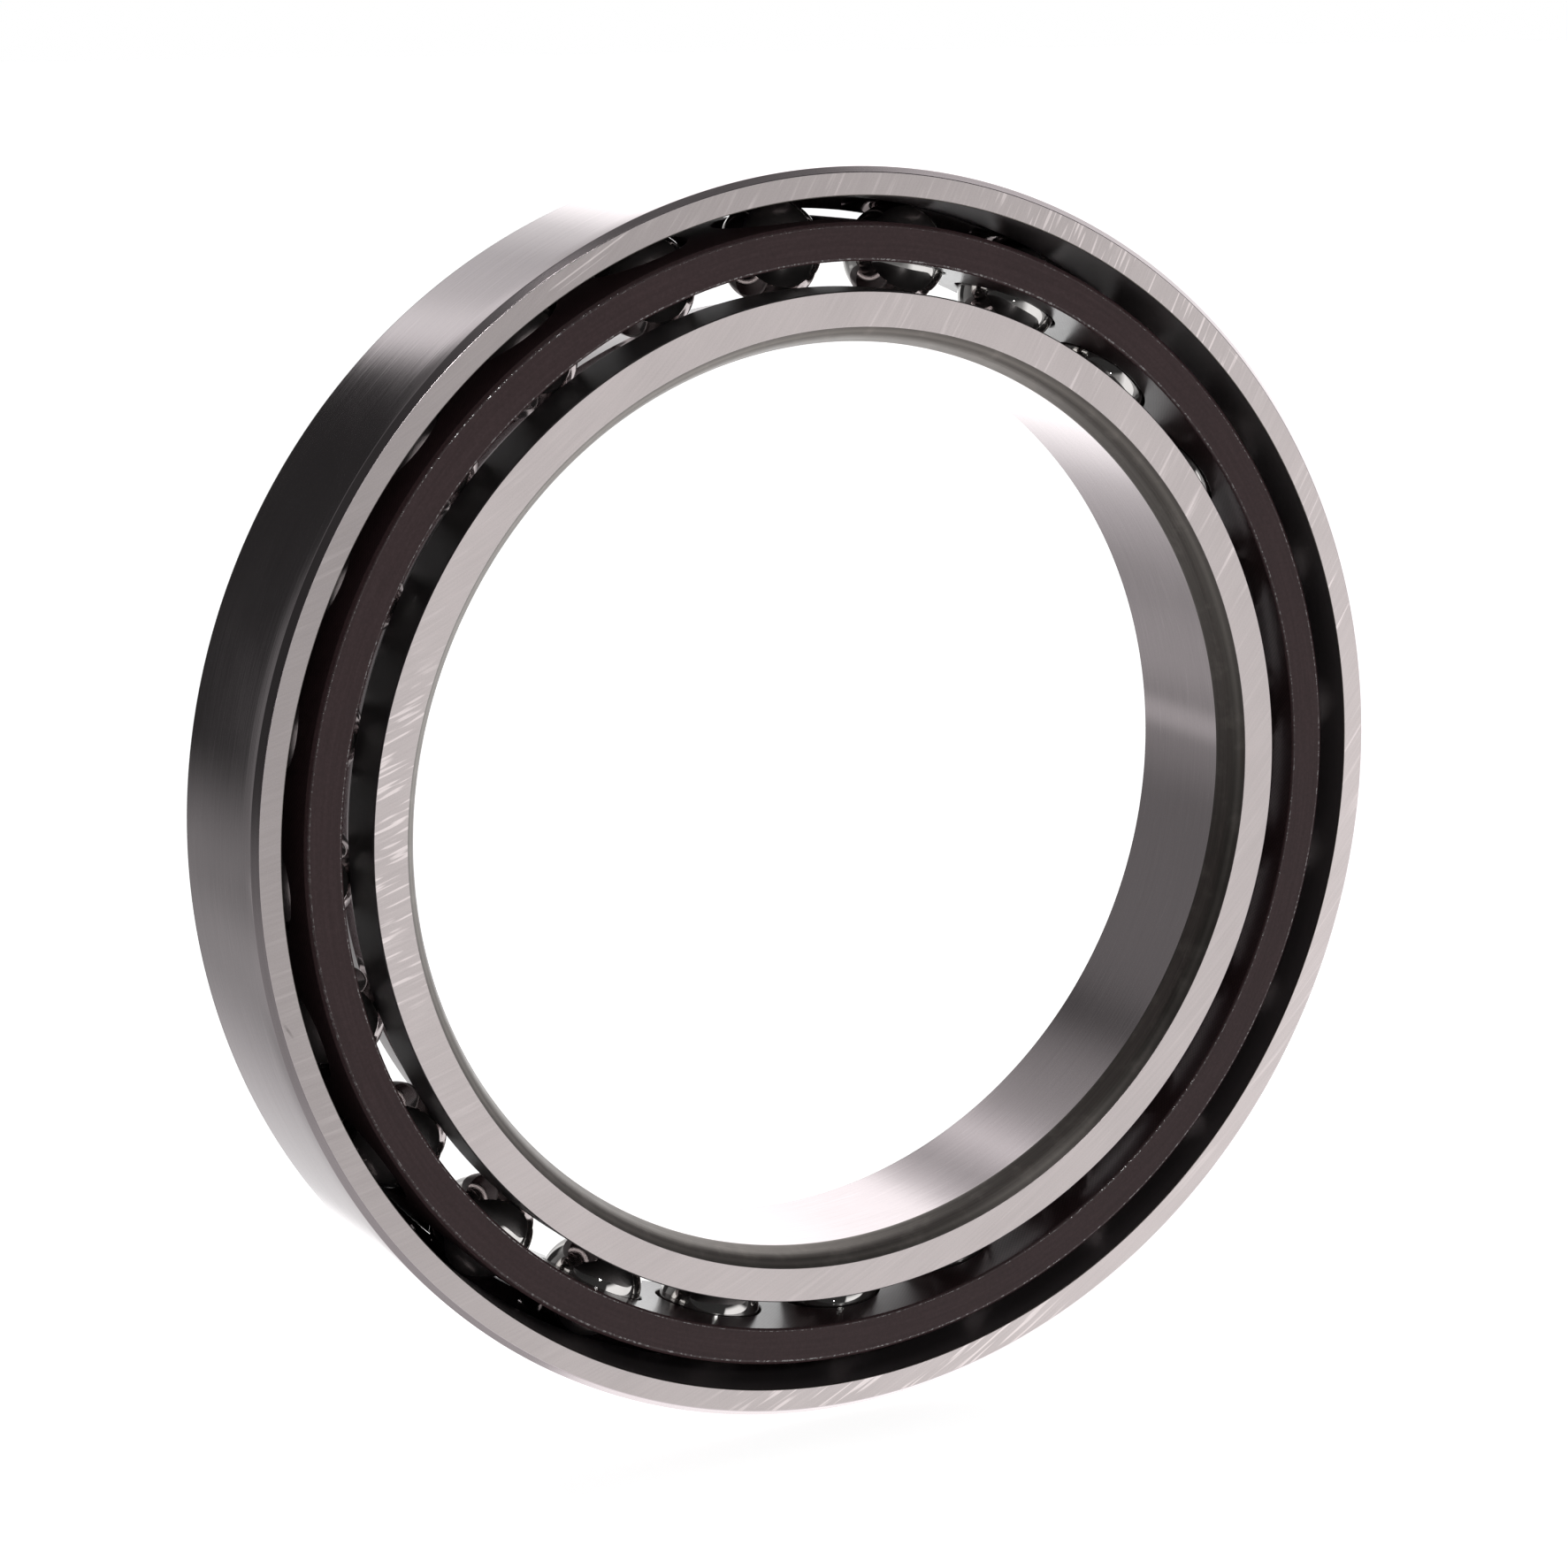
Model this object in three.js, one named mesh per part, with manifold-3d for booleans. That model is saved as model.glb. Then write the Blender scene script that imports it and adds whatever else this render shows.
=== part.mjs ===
// Single-row angular contact ball bearing, open type, light (19) series, 80 x 110 x 16 mm.
//
// Frame: the bearing axis is Y, and the origin is on it at mid-width. The bearing stands on edge,
// +Z up. The front face (the relieved side of the outer ring) looks along -Y, the rear face
// (the side with the high outer shoulder and the relieved inner one) along +Y. Millimetres.
import * as THREE from 'three';
import * as BufferGeometryUtils from 'three/addons/utils/BufferGeometryUtils.js';
import Module from 'manifold-3d';

const wasm = await Module();
wasm.setup();

// ---- driving dimensions ---------------------------------------------------------------
const BORE_R = 40;
const OUTSIDE_R = 55;
const WIDTH = 16;               // both rings
const REAR_Y = WIDTH / 2;
const FRONT_Y = -REAR_Y;

// Balls
const PITCH_R = 47.5;           // circle through the ball centres
const BALL_D = 9.128;           // 23/64 inch
const BALL_R = BALL_D / 2;
const BALL_COUNT = 24;
const BALL_PHASE_DEG = 3.67;    // angle of ball 1 from +X towards +Z
const BALL_Y = 0.9;             // ball centres lie this far behind mid-width, towards the rear

// Raceways
const GROOVE_R = 0.52 * BALL_D; // curvature radius, slightly more than the ball's
const RACE_PLAY = 0.06;         // gap between a ball and a raceway bottom
const OUTER_BOTTOM_R = PITCH_R + BALL_R + RACE_PLAY;
const INNER_BOTTOM_R = PITCH_R - BALL_R - RACE_PLAY;

// Outer ring
const OUTER_SHOULDER_R = 50.75;      // high shoulder, rear
const OUTER_SHOULDER_CHAMFER = 0.5;  // its corner at the rear face
const OUTER_RELIEF_EDGE_R = 52;      // relieved shoulder, at the edge of the raceway
const OUTER_RELIEF_FACE_R = 52.47;   // relieved shoulder, at the front face
const OUTSIDE_CHAMFER_FRONT = 0.55;
const OUTSIDE_CORNER_REAR = 1;       // broken in two facets
const OUTSIDE_CORNER_KNEE = 0.3 * OUTSIDE_CORNER_REAR; // inset of the point between the facets

// Inner ring
const INNER_SHOULDER_R = 44.5;       // high shoulder, front
const INNER_SHOULDER_CHAMFER = 0.09; // its edge break at the front face
const INNER_RELIEF_EDGE_R = 43.25;   // relieved shoulder, at the edge of the raceway
const INNER_RELIEF_FACE_R = 42.6;    // relieved shoulder, at the rear face
const BORE_CORNER_RADIAL = 1.46;     // both bore corners, along the radius
const BORE_CORNER_FRONT = 2.4;       // along the axis, broken in two facets
const BORE_CORNER_REAR = 1.65;       // along the axis, one facet
const BORE_KNEE_RADIAL = 0.36 * BORE_CORNER_RADIAL; // point between the two front facets
const BORE_KNEE_AXIAL = 0.4 * BORE_CORNER_FRONT;

// Cage
const CAGE_INNER_R = 47;
const CAGE_OUTER_R = 50.3;
const CAGE_HALF_LENGTH = 7.6;
const CAGE_CHAMFER = 0.3;            // outer edges only
const POCKET_D = 9.5;                // round pocket, bored along the radius
const POCKET_OVERCUT = 2;            // cutter's reach beyond each cage wall

// Mesh resolution
const RING_SEGMENTS = 96;
const CAGE_SEGMENTS = 96;
const OUTER_GROOVE_STEPS = 7;
const INNER_GROOVE_STEPS = 8;
const POCKET_SEGMENTS = 24;
const BALL_DETAIL = 3;

// ---- materials ------------------------------------------------------------------------
function groundSteel(name) {
  return new THREE.MeshStandardMaterial({
    name, color: 0xbdb6b4, metalness: 0.9, roughness: 0.38,
  });
}

function polishedSteel() {
  return new THREE.MeshStandardMaterial({
    name: 'ball_steel', color: 0xd0d0d2, metalness: 1, roughness: 0.08,
  });
}

function phenolic() {
  return new THREE.MeshStandardMaterial({
    name: 'phenolic', color: 0x3e2f32, metalness: 0, roughness: 0.42,
  });
}

// ---- helpers --------------------------------------------------------------------------
// Keeps positions only and merges shared vertices, so that the surface is closed.
function weld(geometry) {
  geometry.deleteAttribute('normal');
  geometry.deleteAttribute('uv');
  return BufferGeometryUtils.mergeVertices(geometry, 1e-4);
}

function smooth(geometry) {
  geometry.computeVertexNormals();
  return geometry;
}

// A closed solid of revolution about Y from a closed outline of [radius, y].
function revolve(outline, segments) {
  const points = outline.map(([radius, y]) => new THREE.Vector2(radius, y));
  // A counterclockwise outline makes the faces look outwards.
  if (THREE.ShapeUtils.area(points) < 0) points.reverse();
  points.push(points[0]);
  return weld(new THREE.LatheGeometry(points, segments));
}

// Points [radius, y] of a raceway arc, from front to rear. side is +1 for the outer ring and
// -1 for the inner ring; the arc starts at radius frontR and ends at radius rearR.
function groove({ bottomR, side, frontR, rearR, steps }) {
  const centreR = bottomR - side * GROOVE_R;
  const angleAt = (radius) => Math.acos(side * (radius - centreR) / GROOVE_R);
  const start = -angleAt(frontR);
  const end = angleAt(rearR);
  return Array.from({ length: steps + 1 }, (_, i) => {
    const angle = start + (end - start) * i / steps;
    return [centreR + side * GROOVE_R * Math.cos(angle), BALL_Y + GROOVE_R * Math.sin(angle)];
  });
}

function toManifold(geometry) {
  return new wasm.Manifold(new wasm.Mesh({
    numProp: 3,
    vertProperties: new Float32Array(geometry.attributes.position.array),
    triVerts: new Uint32Array(geometry.index.array),
  }));
}

function fromManifold(solid) {
  const { vertProperties, triVerts } = solid.getMesh();
  const geometry = new THREE.BufferGeometry();
  geometry.setAttribute('position', new THREE.BufferAttribute(new Float32Array(vertProperties), 3));
  geometry.setIndex(new THREE.BufferAttribute(new Uint32Array(triVerts), 1));
  return geometry;
}

// ---- rings ----------------------------------------------------------------------------
function outerRing() {
  return smooth(revolve([
    [OUTER_RELIEF_FACE_R, FRONT_Y],
    ...groove({
      bottomR: OUTER_BOTTOM_R,
      side: 1,
      frontR: OUTER_RELIEF_EDGE_R,
      rearR: OUTER_SHOULDER_R,
      steps: OUTER_GROOVE_STEPS,
    }),
    [OUTER_SHOULDER_R, REAR_Y - OUTER_SHOULDER_CHAMFER],
    [OUTER_SHOULDER_R + OUTER_SHOULDER_CHAMFER, REAR_Y],
    [OUTSIDE_R - OUTSIDE_CORNER_REAR, REAR_Y],
    [OUTSIDE_R - OUTSIDE_CORNER_KNEE, REAR_Y - OUTSIDE_CORNER_KNEE],
    [OUTSIDE_R, REAR_Y - OUTSIDE_CORNER_REAR],
    [OUTSIDE_R, FRONT_Y + OUTSIDE_CHAMFER_FRONT],
    [OUTSIDE_R - OUTSIDE_CHAMFER_FRONT, FRONT_Y],
  ], RING_SEGMENTS));
}

function innerRing() {
  return smooth(revolve([
    [BORE_R, FRONT_Y + BORE_CORNER_FRONT],
    [BORE_R + BORE_KNEE_RADIAL, FRONT_Y + BORE_KNEE_AXIAL],
    [BORE_R + BORE_CORNER_RADIAL, FRONT_Y],
    [INNER_SHOULDER_R - INNER_SHOULDER_CHAMFER, FRONT_Y],
    [INNER_SHOULDER_R, FRONT_Y + INNER_SHOULDER_CHAMFER],
    ...groove({
      bottomR: INNER_BOTTOM_R,
      side: -1,
      frontR: INNER_SHOULDER_R,
      rearR: INNER_RELIEF_EDGE_R,
      steps: INNER_GROOVE_STEPS,
    }),
    [INNER_RELIEF_FACE_R, REAR_Y],
    [BORE_R + BORE_CORNER_RADIAL, REAR_Y],
    [BORE_R, REAR_Y - BORE_CORNER_REAR],
  ], RING_SEGMENTS));
}

// ---- cage and balls -------------------------------------------------------------------
// Angles of the balls and their pockets, from +X towards +Z.
const ballAngles = Array.from({ length: BALL_COUNT }, (_, i) => (
  THREE.MathUtils.degToRad(BALL_PHASE_DEG) + i * 2 * Math.PI / BALL_COUNT
));

function pocketCutter(angle) {
  const length = CAGE_OUTER_R - CAGE_INNER_R + 2 * POCKET_OVERCUT;
  const cutter = new THREE.CylinderGeometry(POCKET_D / 2, POCKET_D / 2, length, POCKET_SEGMENTS);
  cutter.rotateZ(-Math.PI / 2); // cylinder axis from Y to X
  cutter.translate((CAGE_OUTER_R + CAGE_INNER_R) / 2, BALL_Y, 0);
  cutter.rotateY(-angle);       // X towards +Z
  return toManifold(weld(cutter));
}

function cage() {
  const body = revolve([
    [CAGE_INNER_R, -CAGE_HALF_LENGTH],
    [CAGE_OUTER_R - CAGE_CHAMFER, -CAGE_HALF_LENGTH],
    [CAGE_OUTER_R, -CAGE_HALF_LENGTH + CAGE_CHAMFER],
    [CAGE_OUTER_R, CAGE_HALF_LENGTH - CAGE_CHAMFER],
    [CAGE_OUTER_R - CAGE_CHAMFER, CAGE_HALF_LENGTH],
    [CAGE_INNER_R, CAGE_HALF_LENGTH],
  ], CAGE_SEGMENTS);
  const solid = ballAngles.reduce(
    (rest, angle) => rest.subtract(pocketCutter(angle)),
    toManifold(body),
  );
  return smooth(fromManifold(solid));
}

function ball() {
  return smooth(weld(new THREE.IcosahedronGeometry(BALL_R, BALL_DETAIL)));
}

// ---- assembly -------------------------------------------------------------------------
function add(parent, name, geometry, material) {
  const mesh = new THREE.Mesh(geometry, material);
  mesh.name = name;
  parent.add(mesh);
  return mesh;
}

const bearing = new THREE.Group();
add(bearing, 'outer_ring', outerRing(), groundSteel('outer_ring_steel'));
add(bearing, 'inner_ring', innerRing(), groundSteel('inner_ring_steel'));

// The cage and its balls form one group.
const cageAndBalls = new THREE.Group();
bearing.add(cageAndBalls);
add(cageAndBalls, 'cage', cage(), phenolic());

const ballGeometry = ball();
const ballSteel = polishedSteel();
ballAngles.forEach((angle, i) => {
  const name = `ball_${String(i + 1).padStart(2, '0')}`;
  const mesh = add(cageAndBalls, name, ballGeometry, ballSteel);
  mesh.position.set(PITCH_R * Math.cos(angle), BALL_Y, PITCH_R * Math.sin(angle));
  mesh.rotation.y = -angle;
});

export default bearing;
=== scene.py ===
"""Open single-row angular contact ball bearing, 80 x 110 x 16 mm.

The bearing's axis is Y, its front face looks along -Y, and +Z is up. The scene is in metres;
sizes and outlines below are in millimetres and are scaled by MM.
"""

import math

import bmesh
import bpy
import numpy as np
from mathutils import Euler, Matrix, Vector


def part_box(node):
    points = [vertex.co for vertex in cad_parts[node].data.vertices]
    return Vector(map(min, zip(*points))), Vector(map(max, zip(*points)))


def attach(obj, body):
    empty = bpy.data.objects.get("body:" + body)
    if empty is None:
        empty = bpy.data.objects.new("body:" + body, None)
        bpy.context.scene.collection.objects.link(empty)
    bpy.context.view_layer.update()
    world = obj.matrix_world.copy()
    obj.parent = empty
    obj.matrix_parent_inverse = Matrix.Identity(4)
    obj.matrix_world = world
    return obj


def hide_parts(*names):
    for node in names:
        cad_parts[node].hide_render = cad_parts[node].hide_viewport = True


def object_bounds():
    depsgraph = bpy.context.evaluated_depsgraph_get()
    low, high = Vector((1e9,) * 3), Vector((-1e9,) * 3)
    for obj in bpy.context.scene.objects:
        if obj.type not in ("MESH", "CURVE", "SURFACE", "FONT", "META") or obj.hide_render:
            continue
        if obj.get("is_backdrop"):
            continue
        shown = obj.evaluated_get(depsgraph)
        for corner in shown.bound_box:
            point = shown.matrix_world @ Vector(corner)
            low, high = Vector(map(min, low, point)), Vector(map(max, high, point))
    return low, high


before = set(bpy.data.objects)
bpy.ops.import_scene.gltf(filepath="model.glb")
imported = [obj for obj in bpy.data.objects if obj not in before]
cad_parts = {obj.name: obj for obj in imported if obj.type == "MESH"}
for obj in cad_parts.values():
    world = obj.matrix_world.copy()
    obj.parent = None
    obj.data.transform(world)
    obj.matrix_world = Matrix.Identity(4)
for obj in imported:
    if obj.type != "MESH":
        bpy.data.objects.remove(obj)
CAD_LO, CAD_HI = (Vector(corner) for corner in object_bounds())
scene = bpy.context.scene

MM = 0.001
BALLS = sorted(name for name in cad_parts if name.startswith("ball_"))
FACETS_PER_BALL = 16
RING_FACETS = FACETS_PER_BALL * len(BALLS)


# ================================================================== sizes
def frame_size(part, axis):
    """How far a CAD part reaches along +axis, in mm."""
    return round(getattr(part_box(part)[1], axis) / MM, 2)


OUTER_R = frame_size("outer_ring", "x")
HALF_WIDTH = frame_size("outer_ring", "y")
INNER_SHOULDER_R = frame_size("inner_ring", "x")
BORE_R = 40.0

BALL_R = 9.128 / 2
BALL_Y = 0.9                            # ball centres, towards the rear
BALL_GRID = 22                          # facets along each side of the cube behind a ball
PITCH_R = (BORE_R + OUTER_R) / 2
PLAY = 0.03                             # between a ball and the bottom of each groove
GROOVE_R = 0.52 * 2 * BALL_R

CAGE_OUTER_R = 50.3
CAGE_INNER_R = 47.0
CAGE_HALF_WIDTH = frame_size("cage", "y")
# the cage hangs loose in its clearance: shift at the front and at the rear face
CAGE_HANG_X = (0.0, -0.22)
CAGE_HANG_Z = (-0.04, -0.22)
CAGE_OUTER_BREAK = 0.30                 # corner breaks of the side faces
CAGE_INNER_BREAK = 0.16
POCKET_R = 4.79                         # 0.04 over the CAD one, room for the cage off centre
POCKET_BREAK = 0.14                     # broken edge round a pocket


# ================================================================== node helpers
class Value:
    """A node's output. Arithmetic on it adds Math nodes."""

    def __init__(self, net, socket):
        self.net = net
        self.socket = socket

    def __add__(self, other):
        return self.net.math("ADD", self, other)

    def __radd__(self, other):
        return self.net.math("ADD", other, self)

    def __sub__(self, other):
        return self.net.math("SUBTRACT", self, other)

    def __rsub__(self, other):
        return self.net.math("SUBTRACT", other, self)

    def __mul__(self, other):
        return self.net.math("MULTIPLY", self, other)

    def __truediv__(self, other):
        return self.net.math("DIVIDE", self, other)

    def __abs__(self):
        return self.net.math("ABSOLUTE", self)

    def swing(self, amount):
        """A 0..1 value turned into a change of the given size about zero."""
        return (self - 0.5) * amount


FALL = (1.0, 0.0)                       # remap target for a value that fades out


class Nodes:
    """Builds the node tree of a material or world."""

    def __init__(self, owner):
        owner.use_nodes = True
        self.owner = owner
        self.tree = owner.node_tree
        self.tree.nodes.clear()

    def set(self, socket, value):
        if isinstance(value, Value):
            self.tree.links.new(value.socket, socket)
        else:
            socket.default_value = value

    def add(self, kind, inputs=None, output=0, **settings):
        """A new node's output. inputs maps a socket's name or index to a Value or a constant."""
        node = self.tree.nodes.new(kind)
        for key, value in settings.items():
            setattr(node, key, value)
        for key, value in (inputs or {}).items():
            self.set(node.inputs[key], value)
        return Value(self, node.outputs[output])

    def finish(self, shader, output="ShaderNodeOutputMaterial"):
        node = self.tree.nodes.new(output)
        self.set(node.inputs["Surface"], shader)
        return self.owner

    def principled(self, inputs):
        return self.finish(self.add("ShaderNodeBsdfPrincipled", inputs))

    def camera_or_other(self, seen, other):
        """One shader for camera rays and another for all the rest."""
        ray = self.add("ShaderNodeLightPath", output="Is Camera Ray")
        return self.add("ShaderNodeMixShader", {0: ray, 1: other, 2: seen})

    def math(self, operation, *values):
        return self.add("ShaderNodeMath", dict(enumerate(values)), operation=operation)

    def vector(self, operation, *values, **named):
        output = "Value" if operation in ("LENGTH", "DOT_PRODUCT") else 0
        inputs = {**dict(enumerate(values)), **named}
        return self.add("ShaderNodeVectorMath", inputs, output, operation=operation)

    def scale(self, vector, factor):
        return self.vector("SCALE", vector, Scale=factor)

    def tint(self, colour, level):
        return self.scale(self.combine(*colour), level)

    def xyz(self, vector):
        first = self.add("ShaderNodeSeparateXYZ", {0: vector})
        return [Value(self, socket) for socket in first.socket.node.outputs]

    def combine(self, x, y, z):
        return self.add("ShaderNodeCombineXYZ", {0: x, 1: y, 2: z})

    def noise(self, place, scale=1.0, detail=2.0, rough=0.5, distort=0.0):
        return self.add("ShaderNodeTexNoise", {"Vector": place, "Scale": scale, "Detail": detail,
                                               "Roughness": rough, "Distortion": distort})

    def remap(self, value, source, target=(0.0, 1.0), smooth=False):
        return self.add("ShaderNodeMapRange", dict(enumerate((value, *source, *target))),
                        interpolation_type="SMOOTHSTEP" if smooth else "LINEAR")

    def mix(self, factor, first, second):
        return self.add("ShaderNodeMix", {0: factor, 6: first, 7: second}, 2, data_type="RGBA")

    def ramp(self, factor, stops):
        """stops: (position, RGB)."""
        ramp = self.add("ShaderNodeValToRGB", {0: factor})
        elements = ramp.socket.node.color_ramp.elements
        while len(elements) > 1:
            elements.remove(elements[-1])
        elements[0].position = stops[0][0]
        elements[0].color = (*stops[0][1], 1)
        for position, colour in stops[1:]:
            elements.new(position).color = (*colour, 1)
        return ramp

    def bump(self, height, distance):
        """distance is in metres."""
        return self.add("ShaderNodeBump",
                        {"Height": height, "Distance": distance, "Strength": 1.0})

    def place(self):
        """Object coordinates in mm."""
        return self.scale(self.add("ShaderNodeTexCoord", output="Object"), 1 / MM)

    def polar(self, place):
        """The place flattened along the axis, its unit direction, and its axial coordinate."""
        x, y, z = self.xyz(place)
        flat = self.combine(x, 0.0, z)
        return flat, self.vector("NORMALIZE", flat), y

    def around(self, direction, across, turns, density, seed):
        """Changes slowly round the axis and quickly across it: noise on it draws fine rings."""
        x, _, z = self.xyz(self.scale(direction, turns))
        return self.combine(x + seed, across * density, z)

    def world_vector(self, vector):
        return self.add("ShaderNodeVectorTransform", {"Vector": vector}, vector_type="VECTOR",
                        convert_from="OBJECT", convert_to="WORLD")


def material(name):
    return Nodes(bpy.data.materials.new(name))


def grey(level):
    return (level, level, level, 1.0)


# ================================================================== materials
STEEL = (0.640, 0.572, 0.588)
FACE_STEEL = (0.640, 0.578, 0.574)
CORNER_STEEL = (0.60, 0.545, 0.505)
BALL_STEEL = (0.62, 0.60, 0.585)

GRIND_X, GRIND_Z = -78.0, 96.0          # centre of the grinding arcs on the side faces
GRIND_R = 110.0                         # turns an angle about that centre into mm

CLOTH_R = 48.0                          # turns an angle round the cage into mm
WEAVE_PITCH = 0.42                      # threads of the cage's cloth


def single_scratch(net, x, z, start, end, width, strength):
    """A straight scratch between two places (x, z) on a side face."""
    length = math.hypot(end[0] - start[0], end[1] - start[1])
    along_x = (end[0] - start[0]) / length
    along_z = (end[1] - start[1]) / length
    from_x = x - start[0]
    from_z = z - start[1]
    run = from_x * along_x + from_z * along_z
    aside = abs(from_x * along_z - from_z * along_x)
    ends = net.remap(run, (-0.3, 0.8)) * net.remap(run, (length - 0.8, length + 0.3), FALL)
    return net.remap(aside, (width * 0.4, width), FALL) * (ends * strength)


def face_steel(name, level, painted_light_drift, seed, worn, scratches=()):
    """Ring side face, flat ground: its fine scratches are arcs about a far centre.

    painted_light_drift: painted light, a change of tone across the face towards +X and +Z. worn:
    angles, in degrees from +X towards +Z, of patches with deeper scratches. scratches: arguments
    of single_scratch.
    """
    net = material(name)
    place = net.place()
    x, _, z = net.xyz(place)
    from_x = x - GRIND_X
    from_z = z - GRIND_Z
    distance = net.vector("LENGTH", net.combine(from_x, 0.0, from_z))
    arc_length = net.math("ARCTAN2", from_z, from_x) * GRIND_R

    def marks(across, along, shift, detail, rough):
        spot = net.combine(distance * across, arc_length * along, seed + shift)
        return net.noise(spot, detail=detail, rough=rough)

    fine = marks(across=5.0, along=0.10, shift=0.0, detail=3.0, rough=0.65)
    broad = marks(across=1.6, along=0.07, shift=7.0, detail=2.0, rough=0.6)
    sparse = marks(across=2.6, along=0.12, shift=13.0, detail=1.0, rough=0.5)
    coarse = marks(across=2.9, along=0.20, shift=19.0, detail=1.0, rough=0.5)
    grain = net.noise(place, scale=9.0, detail=2.0, rough=0.8)
    cloud = net.noise(place, scale=0.12, detail=3.0, rough=0.55)

    # light scratches come in patches; their lightening, strongest towards +X and +Z, is a
    # painted highlight on real scratch marks
    where = net.noise(net.combine(x * 0.035, seed + 3.0, z * 0.035), detail=1.0)
    scratch = net.remap(sparse, (0.60, 0.74)) * net.remap(where, (0.42, 0.62), (0.15, 1.0))
    scratch = scratch * net.remap(x + z * 0.55, (-10.0, 45.0), (0.35, 1.0))

    _, direction, _ = net.polar(place)
    patch = 0.0
    for angle in map(math.radians, worn):
        toward = net.vector("DOT_PRODUCT", direction, (math.cos(angle), 0.0, math.sin(angle)))
        patch = net.math("MAXIMUM", net.remap(toward, (0.92, 0.985), smooth=True), patch)
    deep = net.remap(coarse, (0.57, 0.65)) * patch
    for scratch_shape in scratches:
        deep = deep + single_scratch(net, x, z, *scratch_shape)

    # each part's share of the brightness
    tone = (0.80 + fine * 0.20 + broad.swing(0.16) + cloud.swing(0.14) + grain.swing(0.26)
            + scratch * 0.30 + deep * 0.42)
    # painted light: the tone is made lighter or darker across the face in a fixed direction
    tone = tone * (level + net.vector("DOT_PRODUCT", direction, (painted_light_drift[0], 0.0, painted_light_drift[1])))
    tangent = net.vector("NORMALIZE", net.combine(from_x, 0.0, from_z))
    return net.principled({
        "Base Color": net.tint(FACE_STEEL, tone),
        "Metallic": 1.0,
        "Roughness": 0.34 + broad.swing(0.16) - scratch * 0.10,
        "Anisotropic": 0.45,
        "Tangent": net.world_vector(tangent),
        "Normal": net.bump(fine * 0.7 + scratch * 0.8 + broad * 0.8, distance=2.2e-6),
    })


def cylinder_steel(name, rough, aniso, level, seed, ripple, metal=1.0):
    """Cylindrically ground steel: fine marks run round the axis."""
    net = material(name)
    place = net.place()
    _, direction, y = net.polar(place)
    lines = net.noise(net.around(direction, y, turns=5.0, density=4.2, seed=seed),
                      detail=3.0, rough=0.62)
    broad = net.noise(net.around(direction, y, turns=2.2, density=0.9, seed=seed + 5.0))
    streak = net.noise(net.around(direction, y, turns=9.0, density=6.0, seed=seed + 11.0),
                       detail=1.0)
    patch = net.noise(place, scale=0.10, detail=3.0, rough=0.55)
    grain = net.noise(place, scale=6.0, detail=2.0, rough=0.7)

    tone = (0.86 + lines.swing(0.16) + patch.swing(0.12) + grain.swing(0.10)
            + net.remap(streak, (0.66, 0.78)) * 0.10)
    return net.principled({
        "Base Color": net.tint(STEEL, tone * level),
        "Metallic": metal,
        "Roughness": rough + patch.swing(0.08) + lines.swing(0.05),
        "Anisotropic": aniso,
        "Tangent": net.world_vector(net.combine(0.0, 1.0, 0.0)),
        "Normal": net.bump(lines * 1.0 + broad * 1.4, distance=3.2e-6 * ripple),
    })


def raceway_steel(name, seed, level, smudge):
    """Polished raceway under a thin film of oil; smudge is how much of it is smeared."""
    net = material(name)
    place = net.place()
    _, direction, y = net.polar(place)
    lines = net.noise(net.around(direction, y, turns=3.0, density=7.0, seed=seed),
                      detail=2.0, rough=0.6)
    where = net.noise(net.scale(direction, 2.3), detail=1.0)
    blot = net.noise(place, scale=0.9, detail=4.0, rough=0.65, distort=0.6)
    film = net.remap(where, (0.60, 0.74)) * net.remap(blot, (0.42, 0.66)) * smudge
    return net.principled({
        "Base Color": net.tint(STEEL, level + lines.swing(0.10)),
        "Metallic": 0.94,
        "Roughness": 0.085 + film * 0.30,
        "Normal": net.bump(lines * 0.4 + film * 1.6, distance=1.0e-6),
    })


def corner_steel(name, level, seed, painted_sheen_r=None):
    """Turned corner: dark and brownish, with fine rings and a painted band of sheen round the
    given radius.
    """
    net = material(name)
    place = net.place()
    flat, direction, y = net.polar(place)
    radius = net.vector("LENGTH", flat)
    rings = net.noise(
        net.around(direction, y * 1.0 - radius, turns=4.0, density=5.0, seed=seed),
        detail=3.0, rough=0.6)
    wear = net.noise(place, scale=0.5, detail=4.0, rough=0.6)
    tone = level + rings.swing(0.16) + net.remap(wear, (0.52, 0.75)) * 0.10
    # painted highlight: a lighter band of sheen round one radius
    if painted_sheen_r:
        aside = abs(radius - painted_sheen_r) + rings * 0.10
        tone = tone + net.remap(aside, (0.05, 0.32), (0.11, 0.0), smooth=True)
    return net.principled({
        "Base Color": net.tint(CORNER_STEEL, tone),
        "Metallic": 1.0,
        "Roughness": 0.32 + wear * 0.20,
        "Normal": net.bump(rings + wear * 0.4, distance=6.0e-6),
    })


def ball_steel(name):
    """Lapped steel: almost a mirror, with a trace of hairlines and oil."""
    net = material(name)
    place = net.place()
    # shift the texture differently on each ball
    chance = net.add("ShaderNodeObjectInfo", output="Random")
    place = net.vector("ADD", place, net.combine(chance * 37.0, chance * 11.0, 0.0))
    cloud = net.noise(place, scale=0.45, detail=3.0, rough=0.6)
    hair = net.noise(net.vector("MULTIPLY", place, (0.5, 7.0, 0.5)), detail=2.0, rough=0.6)
    return net.principled({
        "Base Color": net.tint(BALL_STEEL, 0.92 + cloud * 0.12),
        "Metallic": 0.965,
        "Roughness": 0.018 + net.remap(cloud, (0.5, 0.8)) * 0.05,
        "Normal": net.bump(hair, distance=1.5e-7),
    })


def cloth_thread(net, place):
    return net.noise(place, scale=3.2, detail=3.0, rough=0.7)


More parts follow.
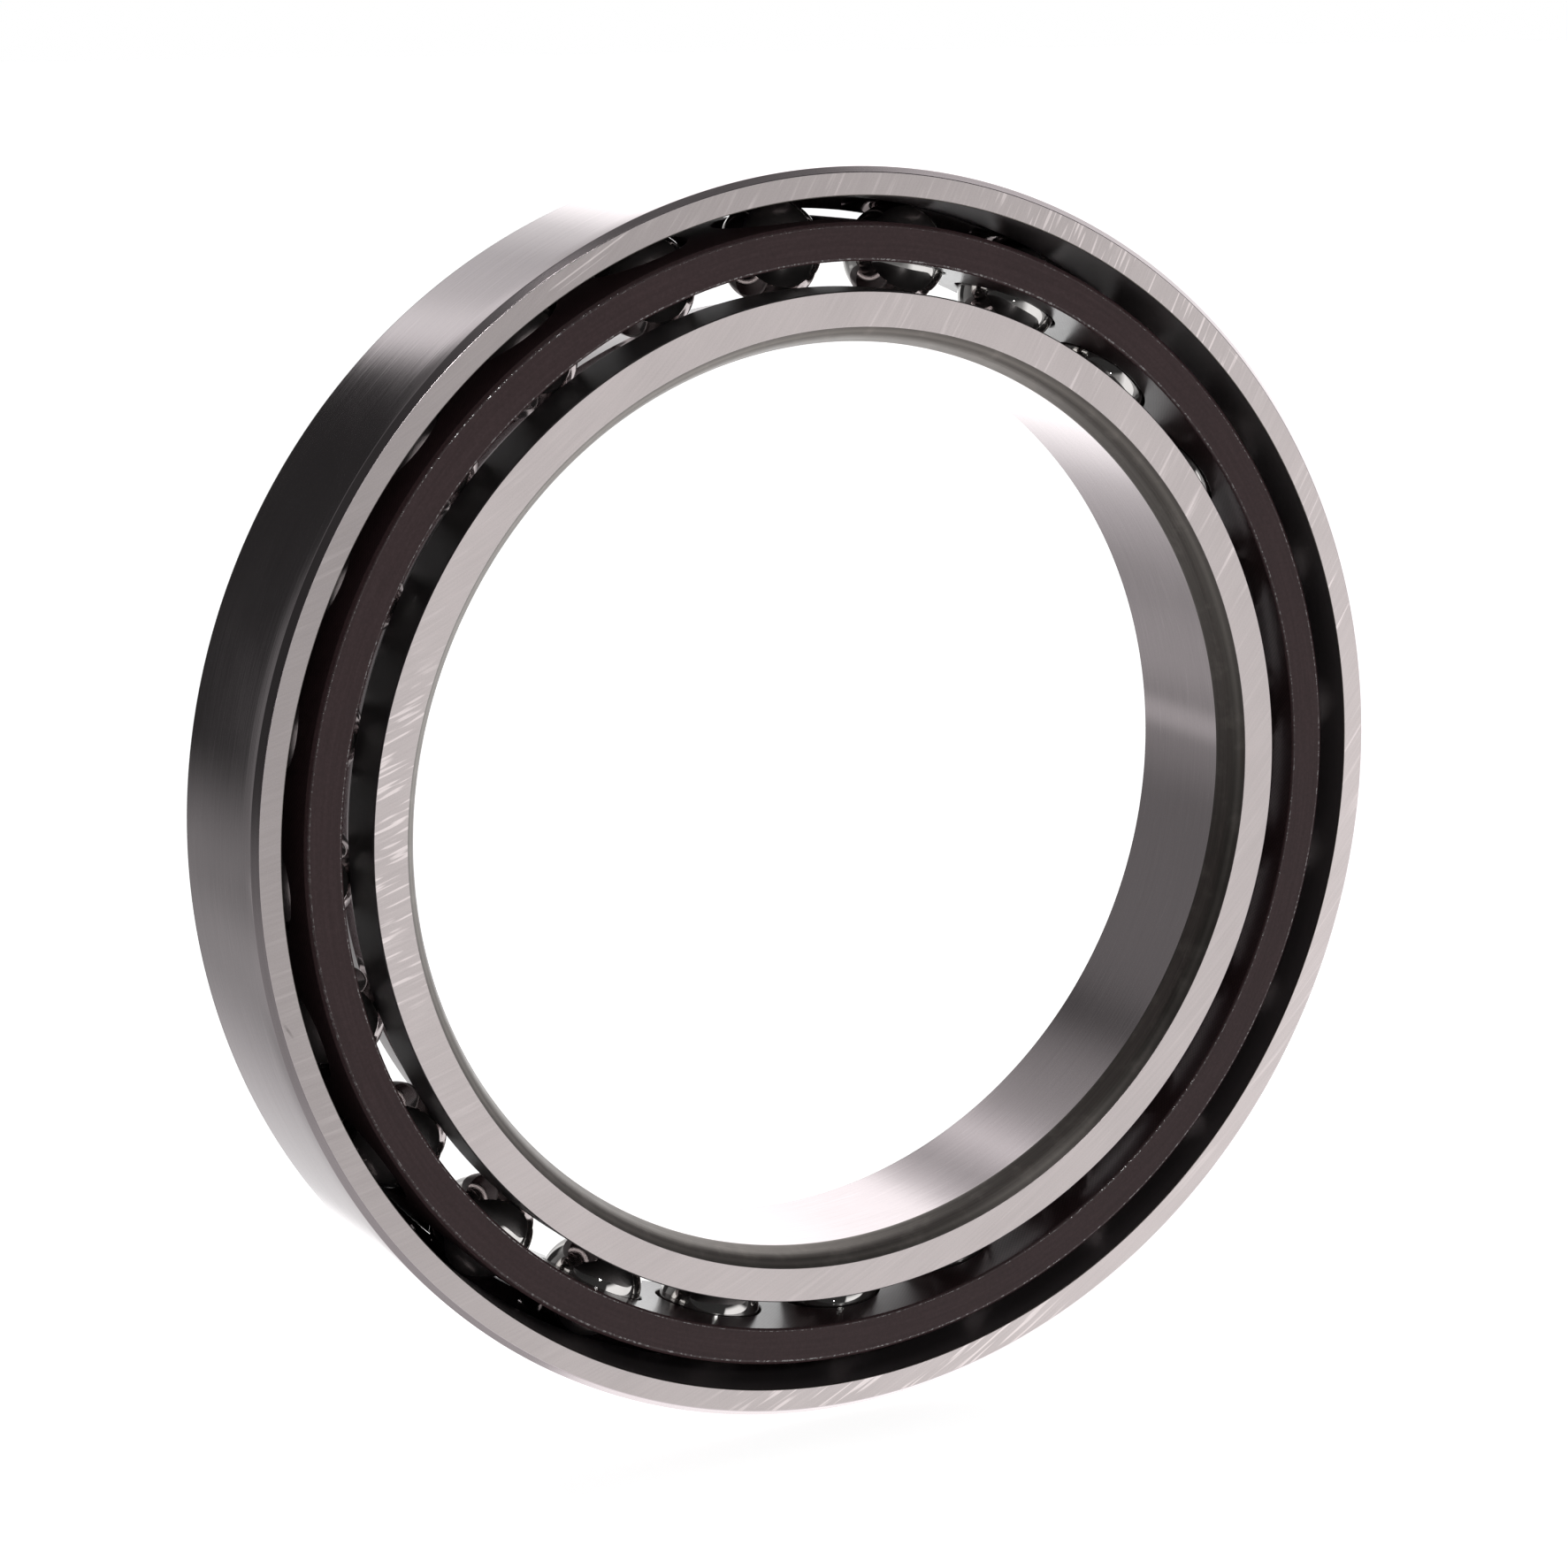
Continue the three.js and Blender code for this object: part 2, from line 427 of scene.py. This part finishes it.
def phenolic(name, face, relief, rough, coat=0.0):
    """Machined cotton cloth in dark maroon resin, under a film of oil.

    face: plies seen edge-on as fine rings, otherwise the cloth's weave. relief is in metres.
    """
    net = material(name)
    place = net.place()
    flat, direction, y = net.polar(place)
    if face:
        radius = net.vector("LENGTH", flat)
        pattern = net.noise(net.around(direction, radius, turns=6.0, density=3.4, seed=3.0),
                            detail=3.0, rough=0.62)
        shade = pattern
    else:
        wobble = net.noise(net.scale(place, 0.8))

        def threads(distance):
            return net.math("SINE", (distance + wobble * 0.30) * (2 * math.pi / WEAVE_PITCH))

        direction_x, _, direction_z = net.xyz(direction)
        round_cage = net.math("ARCTAN2", direction_z, direction_x) * CLOTH_R
        pattern = threads(round_cage) * threads(y)
        shade = 0.5 + pattern * 0.5
    thread = cloth_thread(net, place)
    blotch = net.noise(place, scale=0.35, detail=3.0, rough=0.6)
    base = net.ramp(thread * 0.55 + shade * 0.45, [
        (0.25, (0.032, 0.0150, 0.0158)),
        (0.50, (0.0510, 0.0268, 0.0285)),
        (0.80, (0.080, 0.047, 0.050)),
    ])
    return net.principled({
        "Base Color": net.mix(blotch * 0.35, base, (0.031, 0.018, 0.020, 1.0)),
        "Metallic": 0.0,
        "IOR": 1.30,
        "Roughness": rough + thread * 0.16,
        "Coat Weight": coat,
        "Coat Roughness": rough * 0.6,
        "Normal": net.bump(thread * 0.8 + pattern * 0.35, distance=relief),
    })


def phenolic_edge(name):
    """The cage's broken edges: cut cloth and resin, with single bright points."""
    net = material(name)
    place = net.place()
    spark = net.remap(net.noise(place, scale=3.4, detail=2.0, rough=0.6), (0.52, 0.60))
    thread = cloth_thread(net, place)
    facets = net.bump(thread, distance=2.4e-5)
    return net.principled({
        "Base Color": net.ramp(thread, [(0.3, (0.040, 0.021, 0.022)),
                                        (0.7, (0.066, 0.040, 0.042))]),
        "IOR": 1.45,
        "Roughness": 0.50 - spark * 0.34,
        "Coat Weight": spark * 0.9,
        "Coat Roughness": 0.12,
        "Coat IOR": 2.0,
        "Normal": facets,
        "Coat Normal": facets,
    })


# start (x, z), end (x, z), width, strength; a negative strength is a dark scratch
OUTER_FACE_SCRATCHES = [
    ((-28.0, 45.66), (-20.9, 50.15), 0.09, 1.3),
    ((-27.2, 45.60), (-22.6, 48.55), 0.05, 0.7),
    ((-52.6, -13.0), (-51.9, -14.1), 0.14, -0.9),
    ((14.1, 45.7), (16.0, 48.3), 0.07, 0.9),
    ((-3.2, 49.4), (-1.9, 51.5), 0.06, 0.6),
    ((38.6, 37.9), (39.9, 36.6), 0.06, 0.5),
]

MATERIALS = {
    # the outer face is painted lighter towards +X and darker towards +Z: painted light
    "face_outer": face_steel("outer_ring_face_ground", level=0.74, painted_light_drift=(0.20, -0.10),
                             seed=0.0, worn=(58, -84), scratches=OUTER_FACE_SCRATCHES),
    "face_inner": face_steel("inner_ring_face_ground", level=0.80, painted_light_drift=(0.0, 0.0),
                             seed=40.0, worn=(178,)),
    "od": cylinder_steel("outer_diameter_ground", rough=0.10, aniso=0.35, level=1.0,
                         seed=0.0, ripple=1.0),
    "bore": cylinder_steel("bore_ground", rough=0.14, aniso=0.40, level=1.0,
                           seed=21.0, ripple=0.8),
    "race_outer": raceway_steel("outer_raceway_polished", seed=2.0, level=0.70, smudge=1.0),
    "race_inner": raceway_steel("inner_raceway_polished", seed=9.0, level=0.80, smudge=0.0),
    "relief": cylinder_steel("outer_shoulders_ground", rough=0.34, aniso=0.20, level=0.50,
                             seed=57.0, ripple=0.8, metal=0.80),
    # the inner shoulder is painted very dark: painted shade for the gap between the inner ring's
    # face and the cage
    "land": cylinder_steel("inner_shoulder_ground", rough=0.48, aniso=0.0, level=0.15,
                           seed=63.0, ripple=0.6, metal=0.85),
    "corner_od": cylinder_steel("outer_corner_ground", rough=0.20, aniso=0.0, level=0.92,
                                seed=31.0, ripple=0.6),
    "corner": corner_steel("ring_corner_turned", level=0.16, seed=1.0),
    "corner_bore": corner_steel("bore_corner_turned", level=0.26, seed=6.0, painted_sheen_r=41.05),
    "ball": ball_steel("ball_lapped"),
    "cage_face": phenolic("cage_side_phenolic", face=True, relief=1.4e-5, rough=0.40),
    "cage_outside": phenolic("cage_outside_phenolic", face=False, relief=5.4e-6, rough=0.58),
    "cage_inside": phenolic("cage_inside_phenolic", face=False, relief=1.08e-6, rough=0.28,
                            coat=0.45),
    "cage_edge": phenolic_edge("cage_edge_phenolic"),
}


# ================================================================== mesh helpers
GUARD = 0.035                           # from a rounded corner to its guard point


def fillet(points, closed=True):
    """Rounds the corners of an outline.

    points: [r, y, corner radius, steps, surface after it, surface of the corner if different].
    Returns [(r, y, surface after it)]. A guard point beside each rounded corner on a long
    straight makes flats shade flat.
    """
    out = []
    count = len(points)
    for i, (r, y, radius, steps, surface, *own) in enumerate(points):
        if (not closed and i in (0, count - 1)) or radius <= 0:
            out.append((r, y, surface))
            continue
        corner_surface = own[0] if own else surface
        corner = np.array([r, y], float)
        before = np.array(points[i - 1][:2], float) - corner
        after = np.array(points[(i + 1) % count][:2], float) - corner
        before_length, after_length = np.linalg.norm(before), np.linalg.norm(after)
        before, after = before / before_length, after / after_length
        turn = math.pi - math.acos(max(-1, min(1, float(before @ after))))
        setback = radius * math.tan(turn / 2)
        limit = 0.46 * min(before_length, after_length)
        if setback > limit:
            setback = limit
            radius = setback / math.tan(turn / 2)
        start, end = corner + before * setback, corner + after * setback
        bisector = (before + after) / np.linalg.norm(before + after)
        centre = corner + bisector * (radius / math.cos(turn / 2))
        long_straight = 4 * setback + 0.3
        if before_length > long_straight:
            out.append((*(start + before * GUARD), points[i - 1][4]))
        first = math.atan2(*(start - centre)[::-1])
        last = math.atan2(*(end - centre)[::-1])
        sweep = (last - first + math.pi) % (2 * math.pi) - math.pi
        for k in range(steps + 1):
            angle = first + sweep * k / steps
            out.append((centre[0] + radius * math.cos(angle),
                        centre[1] + radius * math.sin(angle),
                        corner_surface if k < steps else surface))
        if after_length > long_straight:
            out.append((*(end + after * GUARD), surface))
    return out


def groove_arc(centre_r, start, end, steps, surface):
    """Outline points along a groove, angles in degrees from +r towards +y."""
    points = []
    for k in range(steps + 1):
        angle = math.radians(start + (end - start) * k / steps)
        points.append([centre_r + GROOVE_R * math.cos(angle),
                       BALL_Y + GROOVE_R * math.sin(angle), 0, 0, surface])
    return points


def groove_angle(rise):
    """Degrees from a groove's bottom to where it is this far from its centre radius."""
    return math.degrees(math.acos(rise / GROOVE_R))


def grid_faces(rows, columns, base=0, close_rows=False, close_columns=True):
    """Quads of a grid of vertices listed row by row."""
    faces = []
    for j in range(rows if close_rows else rows - 1):
        row, next_row = base + j * columns, base + (j + 1) % rows * columns
        for i in range(columns if close_columns else columns - 1):
            i2 = (i + 1) % columns
            faces.append((row + i, row + i2, next_row + i2, next_row + i))
    return faces


def link_object(name, mesh):
    obj = bpy.data.objects.new(name, mesh)
    scene.collection.objects.link(obj)
    return obj


def new_object(name, verts, faces, face_surfaces, slots):
    """slots: keys of MATERIALS, in slot order. face_surfaces: the key for each face."""
    mesh = bpy.data.meshes.new(name)
    mesh.from_pydata(np.asarray(verts).tolist(), [], faces)
    for key in slots:
        mesh.materials.append(MATERIALS[key])
    mesh.polygons.foreach_set("material_index", [slots.index(key) for key in face_surfaces])
    mesh.polygons.foreach_set("use_smooth", [True] * len(faces))
    mesh.update()
    mesh.validate()
    return link_object(name, mesh)


def turn_outward(obj):
    """Makes the faces point out of the solid."""
    bm = bmesh.new()
    bm.from_mesh(obj.data)
    bmesh.ops.recalc_face_normals(bm, faces=bm.faces)
    if bm.calc_volume(signed=True) < 0:
        bmesh.ops.reverse_faces(bm, faces=bm.faces)
    bm.to_mesh(obj.data)
    bm.free()
    obj.data.update()
    return obj


def revolve(name, profile, slots):
    """A closed solid of revolution about Y from [(r, y, surface)]."""
    angles = np.arange(RING_FACETS) * 2 * math.pi / RING_FACETS
    verts = np.concatenate([
        np.stack([r * np.cos(angles), np.full(RING_FACETS, y), r * np.sin(angles)], 1) * MM
        for r, y, _ in profile])
    faces = grid_faces(len(profile), RING_FACETS, close_rows=True)
    surfaces = [surface for _, _, surface in profile for _ in range(RING_FACETS)]
    return turn_outward(new_object(name, verts, faces, surfaces, slots))


# ================================================================== rings
def outer_ring():
    centre_r = PITCH_R + BALL_R + PLAY - GROOVE_R
    rear_shoulder_r = 50.75
    front_shoulder_r = 52.0
    groove = groove_arc(centre_r, -groove_angle(front_shoulder_r - centre_r),
                        groove_angle(rear_shoulder_r - centre_r), 26, "race_outer")
    groove[0][2:4] = [0.10, 2]
    groove[-1][2:5] = [0.06, 3, "relief"]
    # r, y, corner radius, steps, surface after it, surface of the corner
    points = [
        [52.47, -HALF_WIDTH, 0.10, 4, "relief", "corner"],
        *groove,
        [rear_shoulder_r, HALF_WIDTH - 0.5, 0.10, 3, "corner"],
        [rear_shoulder_r + 0.5, HALF_WIDTH, 0.10, 3, "face_outer", "corner"],
        [OUTER_R - 1.0, HALF_WIDTH, 0.12, 3, "corner"],
        [OUTER_R - 0.42, HALF_WIDTH - 0.22, 0.5, 4, "corner"],
        [OUTER_R - 0.10, HALF_WIDTH - 0.62, 0.5, 4, "corner"],
        [OUTER_R, HALF_WIDTH - 1.0, 0.30, 3, "od", "corner"],
        # the outside narrows a little towards the front
        [OUTER_R, -5.2, 0, 0, "od"],
        [OUTER_R - 0.012, -6.1, 0, 0, "od"],
        [OUTER_R - 0.034, -6.9, 0, 0, "od"],
        [OUTER_R - 0.055, -HALF_WIDTH + 0.57, 0.14, 4, "corner_od", "od"],
        [OUTER_R - 0.55, -HALF_WIDTH, 0.10, 4, "face_outer", "corner_od"],
    ]
    return revolve("outer_ring_ground", fillet(points),
                   ["face_outer", "od", "race_outer", "corner", "corner_od", "relief"])


def inner_ring():
    centre_r = PITCH_R - BALL_R - PLAY + GROOVE_R
    rear_shoulder_r = 43.25
    corner_r = BORE_R + 1.46            # where both bore corners meet the side faces
    lip = 0.09                          # break at the front of the shoulder
    groove = groove_arc(centre_r, 180 + groove_angle(centre_r - INNER_SHOULDER_R),
                        180 - groove_angle(centre_r - rear_shoulder_r), 24, "race_inner")
    groove[0][2:5] = [0.06, 3, "land"]
    groove[-1][2:4] = [0.06, 3]
    # r, y, corner radius, steps, surface after it, surface of the corner
    points = [
        # the front corner: two cones, run together
        [BORE_R + 0.53, -HALF_WIDTH + 0.96, 2.5, 10, "corner_bore"],
        [BORE_R, -HALF_WIDTH + 2.4, 0.8, 6, "bore", "corner_bore"],
        [BORE_R, HALF_WIDTH - 1.65, 0.10, 3, "corner_bore"],
        [corner_r, HALF_WIDTH, 0.06, 2, "face_inner", "corner_bore"],
        [42.6, HALF_WIDTH, 0.10, 3, "relief", "land"],
        *groove[::-1],
        [INNER_SHOULDER_R, -HALF_WIDTH + lip, 0.03, 2, "land"],
        [INNER_SHOULDER_R - lip, -HALF_WIDTH, 0.03, 2, "face_inner", "land"],
        [corner_r, -HALF_WIDTH, 0.07, 4, "corner_bore", "face_inner"],
    ]
    return revolve("inner_ring_ground", fillet(points),
                   ["face_inner", "bore", "race_inner", "corner_bore", "land", "relief"])


# ================================================================== cage
HALF_SECTOR = math.pi / len(BALLS)
OUTER_BORDER_Y = CAGE_HALF_WIDTH - CAGE_OUTER_BREAK - 0.05   # where rims take over
INNER_BORDER_Y = CAGE_HALF_WIDTH - CAGE_INNER_BREAK - 0.04
# rows from a sector's border, 0, to its pocket, 1, with a guard row just before the pocket
POCKET_SHARES = (0, 1 / 6, 2 / 6, 3 / 6, 4 / 6, 0.98, 1)
# pocket's broken edge: radius, depth below the cage's round surface
POCKET_EDGE = (
    (POCKET_R + 0.42 * POCKET_BREAK, 0.12 * POCKET_BREAK),
    (POCKET_R + 0.10 * POCKET_BREAK, 0.45 * POCKET_BREAK),
    (POCKET_R, POCKET_BREAK),
    (POCKET_R, POCKET_BREAK + 0.04),
)


def cage_row(radius, angles, y):
    """Points in mm on a cylinder about the bearing's axis."""
    return np.stack([radius * np.cos(angles), y + 0 * angles, radius * np.sin(angles)], 1)


def pocket_row(angles, pocket_r, height):
    """Points in mm round a pocket whose axis is X. height gives x for an offset across it."""
    across = pocket_r * np.cos(angles)
    return np.stack([height(across), BALL_Y + pocket_r * np.sin(angles), across], 1)


def pocket_side(radius, border_y, inward):
    """Rows on one round surface, from the sector's border over the pocket's broken edge.

    inward: the direction along x into the cage's wall. Also returns the angles of the points.
    """
    side = np.linspace(-1, 1, FACETS_PER_BALL + 1)[:-1]
    border = np.array([(HALF_SECTOR, s * border_y) for s in side]
                      + [(-s * HALF_SECTOR, border_y) for s in side]
                      + [(-HALF_SECTOR, -s * border_y) for s in side]
                      + [(s * HALF_SECTOR, -border_y) for s in side])
    angles = np.arctan2(border[:, 1] - BALL_Y, border[:, 0] * radius)
    hole_r = POCKET_R + POCKET_BREAK
    hole = np.stack([np.arcsin(hole_r * np.cos(angles) / radius),
                     BALL_Y + hole_r * np.sin(angles)], 1)
    rows = [cage_row(radius, *(border * (1 - share) + hole * share).T)
            for share in POCKET_SHARES]
    for edge_r, depth in POCKET_EDGE:
        rows.append(pocket_row(angles, edge_r, lambda across:
                               np.sqrt(radius ** 2 - across ** 2) + inward * depth))
    return angles, rows


def pocket_grid():
    """A sector's two round surfaces and the pocket's wall, as (rows, surfaces, closed)."""
    angles, outside = pocket_side(CAGE_OUTER_R, OUTER_BORDER_Y, -1)
    _, inside = pocket_side(CAGE_INNER_R, INNER_BORDER_Y, 1)
    wall = [pocket_row(angles, POCKET_R, lambda across:
                       np.sqrt(CAGE_OUTER_R ** 2 - across ** 2) * (1 - share)
                       + np.sqrt(CAGE_INNER_R ** 2 - across ** 2) * share)
            for share in (0.35, 0.65)]
    rows = outside + wall + inside[::-1]
    outside_bands = len(outside) + len(wall) + 1
    inside_bands = len(rows) - 1 - outside_bands
    surfaces = ["cage_outside"] * outside_bands + ["cage_inside"] * inside_bands
    return rows, surfaces, True


def rim_grid(side):
    """A sector's side face with its corner breaks, at the front (-1) or the rear (1)."""
    angles = np.linspace(-HALF_SECTOR, HALF_SECTOR, FACETS_PER_BALL + 1)
    width = CAGE_HALF_WIDTH
    outer, inner = CAGE_OUTER_BREAK, CAGE_INNER_BREAK
    # r, y, corner radius, steps, surface after it, surface of the corner
    profile = fillet([
        [CAGE_OUTER_R, side * OUTER_BORDER_Y, 0, 0, "cage_face"],
        [CAGE_OUTER_R, side * (width - outer), 0.05, 2, "cage_face"],
        [CAGE_OUTER_R - outer, side * width, 0.26, 6, "cage_face", "cage_edge"],
        [CAGE_INNER_R + inner, side * width, 0.20, 6, "cage_face", "cage_edge"],
        [CAGE_INNER_R, side * (width - inner), 0.04, 2, "cage_face"],
        [CAGE_INNER_R, side * INNER_BORDER_Y, 0, 0, "cage_face"],
    ], closed=False)
    rows = [cage_row(r, angles, y) for r, y, _ in profile]
    return rows, [surface for _, _, surface in profile[:-1]], False


def cage(phase):
    """One ring with a round pocket for each ball, the first at the angle phase."""
    sector = [pocket_grid(), rim_grid(-1), rim_grid(1)]
    verts, faces, face_surfaces = [], [], []
    for k in range(len(BALLS)):
        angle = phase + k * 2 * math.pi / len(BALLS)
        cos, sin = math.cos(angle), math.sin(angle)
        turn = np.array([[cos, 0, -sin], [0, 1, 0], [sin, 0, cos]])
        for rows, surfaces, closed in sector:
            columns = len(rows[0])
            faces += grid_faces(len(rows), columns, len(verts), close_columns=closed)
            for row in rows:
                verts.extend(row @ turn.T * MM)
            for surface in surfaces:
                face_surfaces += [surface] * (columns if closed else columns - 1)
    obj = new_object("cage_machined", verts, faces, face_surfaces,
                     ["cage_face", "cage_outside", "cage_inside", "cage_edge"])
    bm = bmesh.new()
    bm.from_mesh(obj.data)
    bmesh.ops.remove_doubles(bm, verts=bm.verts, dist=2e-6)
    bm.to_mesh(obj.data)
    bm.free()
    turn_outward(obj)

    hang = Matrix.Identity(4)
    for row, (front, rear) in ((0, CAGE_HANG_X), (2, CAGE_HANG_Z)):
        hang[row][1] = (rear - front) / (2 * CAGE_HALF_WIDTH)
        hang[row][3] = (rear + front) / 2 * MM
    obj.data.transform(hang)
    return obj


# ================================================================== balls
def ball_mesh(name):
    """A sphere made from a cube's grid, so its facets are even."""
    radius = BALL_R * MM
    bm = bmesh.new()
    steps = [math.tan(math.pi / 4 * (2 * i / BALL_GRID - 1)) for i in range(BALL_GRID + 1)]
    for axis in range(3):
        for sign in (-1, 1):
            grid = []
            for first in steps:
                row = []
                for second in steps:
                    point = [0.0, 0.0, 0.0]
                    point[axis] = sign
                    point[(axis + 1) % 3] = first
                    point[(axis + 2) % 3] = second
                    row.append(bm.verts.new(Vector(point).normalized() * radius))
                grid.append(row)
            for row, after in zip(grid, grid[1:]):
                for j in range(BALL_GRID):
                    bm.faces.new((row[j], after[j], after[j + 1], row[j + 1]))
    bmesh.ops.remove_doubles(bm, verts=bm.verts, dist=radius * 1e-4)
    bmesh.ops.recalc_face_normals(bm, faces=bm.faces)
    for face in bm.faces:
        face.smooth = True
    mesh = bpy.data.meshes.new(name)
    bm.to_mesh(mesh)
    bm.free()
    mesh.materials.append(MATERIALS["ball"])
    return mesh


def box_centre(part):
    lo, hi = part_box(part)
    return (lo + hi) / 2


def ball(part):
    mesh = ball_mesh(part + "_lapped")
    k = int(part.split("_")[1])
    # each ball sits at its own angle
    mesh.transform(Euler((0.7 * k, 1.3 * k, 2.1 * k)).to_matrix().to_4x4())
    obj = link_object(part + "_lapped", mesh)
    obj.location = box_centre(part)
    return obj


# ================================================================== assembly
def stand_in(piece, part):
    """The piece takes the place of a CAD part."""
    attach(piece, part)
    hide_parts(part)


first_ball = box_centre(BALLS[0])
stand_in(outer_ring(), "outer_ring")
stand_in(inner_ring(), "inner_ring")
stand_in(cage(math.atan2(first_ball.z, first_ball.x)), "cage")
for ball_name in BALLS:
    stand_in(ball(ball_name), ball_name)


# ================================================================== stage
def stage():
    """A pale floor that only the camera sees."""
    size = 4.0                          # metres, half the floor's side
    z = CAD_LO.z - 0.0001
    mesh = bpy.data.meshes.new("floor")
    corners = [(-size, -size, z), (size, -size, z), (size, size, z), (-size, size, z)]
    mesh.from_pydata(corners, [], [(0, 1, 2, 3)])
    floor = link_object("floor", mesh)
    net = material("floor_pale")
    diffuse = net.add("ShaderNodeBsdfDiffuse", {"Color": grey(0.9)})
    glow = net.add("ShaderNodeEmission", {"Color": grey(1), "Strength": 0.80})
    both = net.add("ShaderNodeAddShader", {0: diffuse, 1: glow})
    clear = net.add("ShaderNodeBsdfTransparent")
    mesh.materials.append(net.finish(net.camera_or_other(both, clear)))
    floor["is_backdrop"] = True


# Brightness round the horizon: azimuth in degrees (0 is +Y, behind; + is towards +X), level.
# One table for each band of height, from the top down.
HIGH = [
    (-180, .03), (-120, .03), (-60, .12), (-34, .18), (-25.5, .24), (-20, .35), (-13.5, .39),
    (-6.1, .47), (-2, .75), (1.6, 1.05), (4.5, .80), (9.1, .52), (12, .65), (15.8, 1.0),
    (20, 1.7), (60, 1.7), (75, .8), (92, .2), (115, .05), (180, .03)]
UPPER = [
    (-180, .04), (-120, .035), (-75, .05), (-50, .12), (-36, .20), (-27, .20), (-24.5, .03),
    (-12, .03), (-9, .03), (-6.5, .08), (-3.4, .95), (-0.5, 1.02), (3, .70), (9, .62),
    (14, .92), (18, 1.7), (60, 1.7), (75, .9), (92, .20), (115, .06), (150, .04), (180, .04)]
LOW_RIGHT = [(60, 1.7), (90, 1.5), (115, 1.2), (140, 1.30), (165, 1.30), (180, .40)]
LOWER = [
    (-180, .40), (-166, .20), (-120, .20), (-90, .20), (-60, .24), (-40, .27), (-34, .33),
    (-28, .27), (-22, .235), (-18, .27), (-14, .33), (-10, .42), (-6, .55), (0, .73),
    (5, .84), (10, 1.05), (15, 1.6), *LOW_RIGHT]
LOWER_STILL = [
    (-180, .40), (-166, .33), (-120, .33), (-90, .33), (-60, .36), (-40, .42), (-25, .47),
    (-18, .38), (-14, .34), (-7, .54), (-1, .70), (5, .80), (10, .90), (16, 1.7), *LOW_RIGHT]
DEEP = [
    (-180, .40), (-166, .36), (-120, .36), (-90, .36), (-60, .40), (-40, .44), (-25, .46),
    (-19, .47), (-12.6, .50), (-5.3, .63), (2.2, .86), (9.4, 1.45), (13, 1.7), *LOW_RIGHT]
RAMP_SCALE = 2.0                        # ramps hold the level divided by this


def studio():
    """A white sweep behind and below and a dim room in front; the camera sees plain white."""
    world = bpy.data.worlds.new("studio")
    scene.world = world
    net = Nodes(world)
    x, y, z = net.xyz(net.add("ShaderNodeTexCoord", output="Generated"))
    half_turns = net.math("ARCTAN2", x, y) / math.pi
    position = net.math("MULTIPLY_ADD", half_turns, 0.5, 0.5)
    azimuth = half_turns * 180.0
    height = net.math("ARCSINE", z) * (180 / math.pi)

    def band(table):
        return net.ramp(position, [((angle + 180) / 360, (level / RAMP_SCALE,) * 3)
                                   for angle, level in table])

    def rise(value, start, end):
        return net.remap(value, (start, end), smooth=True)

    def fall(value, start, end):
        return net.remap(value, (start, end), FALL, smooth=True)

    # the table reaches higher in front on the right
    front_right = rise(azimuth, 105.0, 135.0) * fall(azimuth, 166.0, 176.0)
    table_height = height - front_right * 15.0
    light = net.mix(rise(height, 23.0, 34.0), band(UPPER), band(HIGH))
    light = net.mix(fall(table_height, -13.0, -3.0), light, band(LOWER))
    light = net.mix(fall(height, -22.0, -14.0), light, band(LOWER_STILL))
    light = net.mix(fall(height, -34.0, -27.0), light, band(DEEP))
    under_left = fall(height, -52.0, -37.0) * fall(azimuth, -40.0, 10.0)
    light = net.mix(under_left, light, grey(.28))
    # a lit edge of the sweep low on the left, and a dim ceiling
    edge_sides = net.remap(azimuth, (-44.0, -38.0)) * net.remap(azimuth, (-28.0, -24.0), FALL)
    edge = fall(abs(height + 15.0), 0.6, 2.6) * edge_sides
    light = net.mix(edge * 0.9, light, grey(.31))
    light = net.mix(rise(height, 50.0, 66.0) * 0.9, light, grey(.07))

    lit = net.add("ShaderNodeBackground", {"Color": light, "Strength": RAMP_SCALE})
    seen = net.add("ShaderNodeBackground", {"Color": grey(1), "Strength": 1.0})
    net.finish(net.camera_or_other(seen, lit), output="ShaderNodeOutputWorld")
    world.cycles.sampling_method = "MANUAL"
    world.cycles.sample_map_resolution = 1024


LAMP_DISTANCE = 0.6                     # metres from the bearing's centre


def lamp(name, direction, size, power):
    """A disk lamp facing the bearing's centre, size in metres and power in watts."""
    data = bpy.data.lights.new(name, "AREA")
    data.shape = "DISK"
    data.size = size
    data.energy = power
    obj = link_object(name, data)
    toward = Vector(direction).normalized()
    obj.location = toward * LAMP_DISTANCE
    obj.rotation_mode = "QUATERNION"
    obj.rotation_quaternion = toward.to_track_quat("Z", "Y")


def camera():
    """The view from the front left, a little above."""
    right = Vector((0.8802, -0.4745, 0.0))
    up = Vector((0.0951, 0.1764, 0.9797))
    back = right.cross(up).normalized()
    right = up.cross(back).normalized()
    data = bpy.data.cameras.new("camera")
    data.sensor_width = 36.0
    data.lens = 94.80
    data.clip_start = 0.01
    data.clip_end = 20
    obj = link_object("camera", data)
    pose = Matrix((right, up.normalized(), back)).transposed().to_4x4()
    pose.translation = Vector((-0.17118, -0.31367, 0.07361))
    obj.matrix_world = pose
    scene.camera = obj


stage()
studio()
lamp("key_spot", direction=(-0.03, -0.93, 0.37), size=0.055, power=0.45)
lamp("high_spot", direction=(-0.21, -0.29, 0.93), size=0.020, power=0.09)
lamp("high_spot_front", direction=(-0.106, -0.557, 0.824), size=0.020, power=0.10)
lamp("fill_spot", direction=(-0.30, -0.95, -0.04), size=0.012, power=0.03)
camera()

scene.view_settings.view_transform = "Standard"
scene.view_settings.look = "None"
scene.cycles.max_bounces = 10
scene.cycles.glossy_bounces = 8
scene.cycles.diffuse_bounces = 4
scene.cycles.caustics_reflective = True
scene.cycles.sample_clamp_indirect = 6.0
